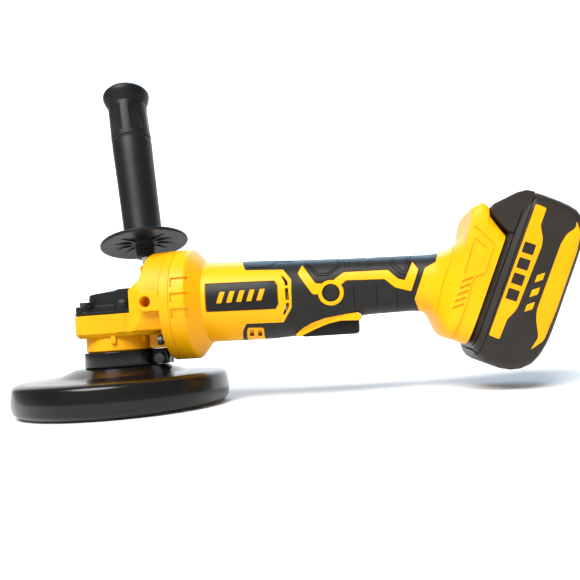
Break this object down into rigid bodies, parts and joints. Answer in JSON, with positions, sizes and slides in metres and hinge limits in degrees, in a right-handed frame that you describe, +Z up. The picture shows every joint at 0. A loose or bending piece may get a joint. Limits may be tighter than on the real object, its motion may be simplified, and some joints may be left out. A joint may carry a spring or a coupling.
{
  "type": "cordless angle grinder",
  "caption": "Cordless angle grinder with a yellow and black body, a turning wheel guard, a screw-in side handle, a paddle switch under the grip and a slide-off battery pack.",
  "frame": {"origin": "centre of the spindle's lower end face", "axes": "+Z up along the spindle away from the disc, +X along the motor from the gear head to the battery, +Y to the far side"},
  "size_m": [0.3684, 0.117, 0.2296],
  "materials": {
    "yellow_plastic": "satin moulded plastic",
    "yellow_cast": "satin powder coat on cast alloy",
    "black_plastic": "fine textured black plastic",
    "black_rubber": "soft matt overmould",
    "black_paint": "gloss black paint on steel sheet",
    "battery_plastic": "fine textured dark grey plastic",
    "steel": "ground steel",
    "dark_steel": "blackened steel",
    "copper": "enamelled copper wire",
    "cell_wrap": "shrink sleeve",
    "board": "coated circuit board"
  },
  "bodies": {
    "housing": {"gear_housing": "yellow_cast", "spindle_neck": "yellow_cast", "housing_left": "yellow_plastic", "housing_right": "yellow_plastic", "gear_cover": "black_plastic", "fan_baffle": "black_plastic", "name_plate_left": "black_plastic", "name_plate_right": "black_plastic", "plug_left": "black_plastic", "plug_right": "black_plastic", "switch_module": "black_plastic", "terminal_block": "black_plastic", "grip_rubber_left": "black_rubber", "grip_rubber_right": "black_rubber", "spindle_bearing": "steel", "spindle_top_bearing": "steel", "motor_bearing_front": "steel", "motor_bearing_rear": "steel", "paddle_pin": "steel", "paddle_spring": "steel", "lock_spring": "steel", "cover_screw_1": "dark_steel", "cover_screw_2": "dark_steel", "cover_screw_3": "dark_steel", "cover_screw_4": "dark_steel", "bearing_retainer": "dark_steel", "stator_core": "dark_steel", "housing_screw_1": "dark_steel", "housing_screw_2": "dark_steel", "collar_screw_1": "dark_steel", "collar_screw_2": "dark_steel", "collar_screw_3": "dark_steel", "collar_screw_4": "dark_steel", "motor_control": "dark_steel", "stator_winding_front": "copper", "stator_winding_rear": "copper"},
    "guard": {"guard_shell": "black_paint", "guard_band": "black_paint", "guard_screw": "dark_steel", "guard_nut": "dark_steel"},
    "spindle": {"spindle": "steel", "inner_flange": "steel", "outer_nut": "dark_steel", "crown_gear": "dark_steel"},
    "rotor": {"rotor_shaft": "steel", "pinion": "dark_steel", "rotor_core": "dark_steel", "fan": "black_plastic"},
    "lock_button": {"lock_button": "black_plastic"},
    "paddle": {"paddle": "black_plastic"},
    "side_handle": {"handle_stud": "steel", "handle_grip": "black_plastic", "handle_cap": "black_plastic"},
    "battery": {"battery_case_upper": "battery_plastic", "battery_case_lower": "battery_plastic", "cell_row_1": "cell_wrap", "cell_row_2": "cell_wrap", "battery_board": "board"},
    "release_button": {"release_button": "black_plastic"}
  },
  "joints": [
    {"name": "guard_turn", "type": "hinge", "parent": "housing", "child": "guard", "pos_m": [0, 0, 0.03], "axis": [0, 0, 1], "range_deg": [-120, 120]},
    {"name": "spindle_spin", "type": "hinge", "parent": "housing", "child": "spindle", "pos_m": [0, 0, 0.03], "axis": [0, 0, 1], "continuous": true},
    {"name": "rotor_spin", "type": "hinge", "parent": "housing", "child": "rotor", "pos_m": [0.08, 0, 0.0643], "axis": [1, 0, 0], "continuous": true},
    {"name": "lock_press", "type": "slide", "parent": "housing", "child": "lock_button", "axis": [0, 0, -1], "range_m": [0, 0.003], "stiffness_N_per_m": 600, "springref_m": -0.002, "deforming": ["lock_spring"]},
    {"name": "paddle_press", "type": "hinge", "parent": "housing", "child": "paddle", "pos_m": [0.1295, 0, 0.047], "axis": [0, -1, 0], "range_deg": [0, 7], "stiffness_Nm_per_rad": 1.5, "springref_deg": -4.58, "deforming": ["paddle_spring"]},
    {"name": "side_handle_unscrew", "type": "slide", "parent": "housing", "child": "side_handle", "axis": [-0.1301, 0.1807, 0.9749], "range_m": [0, 0.016]},
    {"name": "battery_slide", "type": "slide", "parent": "housing", "child": "battery", "axis": [0.3987, 0, 0.9171], "range_m": [0, 0.08]},
    {"name": "release_press", "type": "slide", "parent": "battery", "child": "release_button", "axis": [-0.3987, 0, -0.9171], "range_m": [0, 0.003], "stiffness_N_per_m": 600, "springref_m": -0.002}
  ],
  "couplings": [
    {"joint": "rotor_spin", "follows": "spindle_spin", "ratio": 3.5}
  ]
}
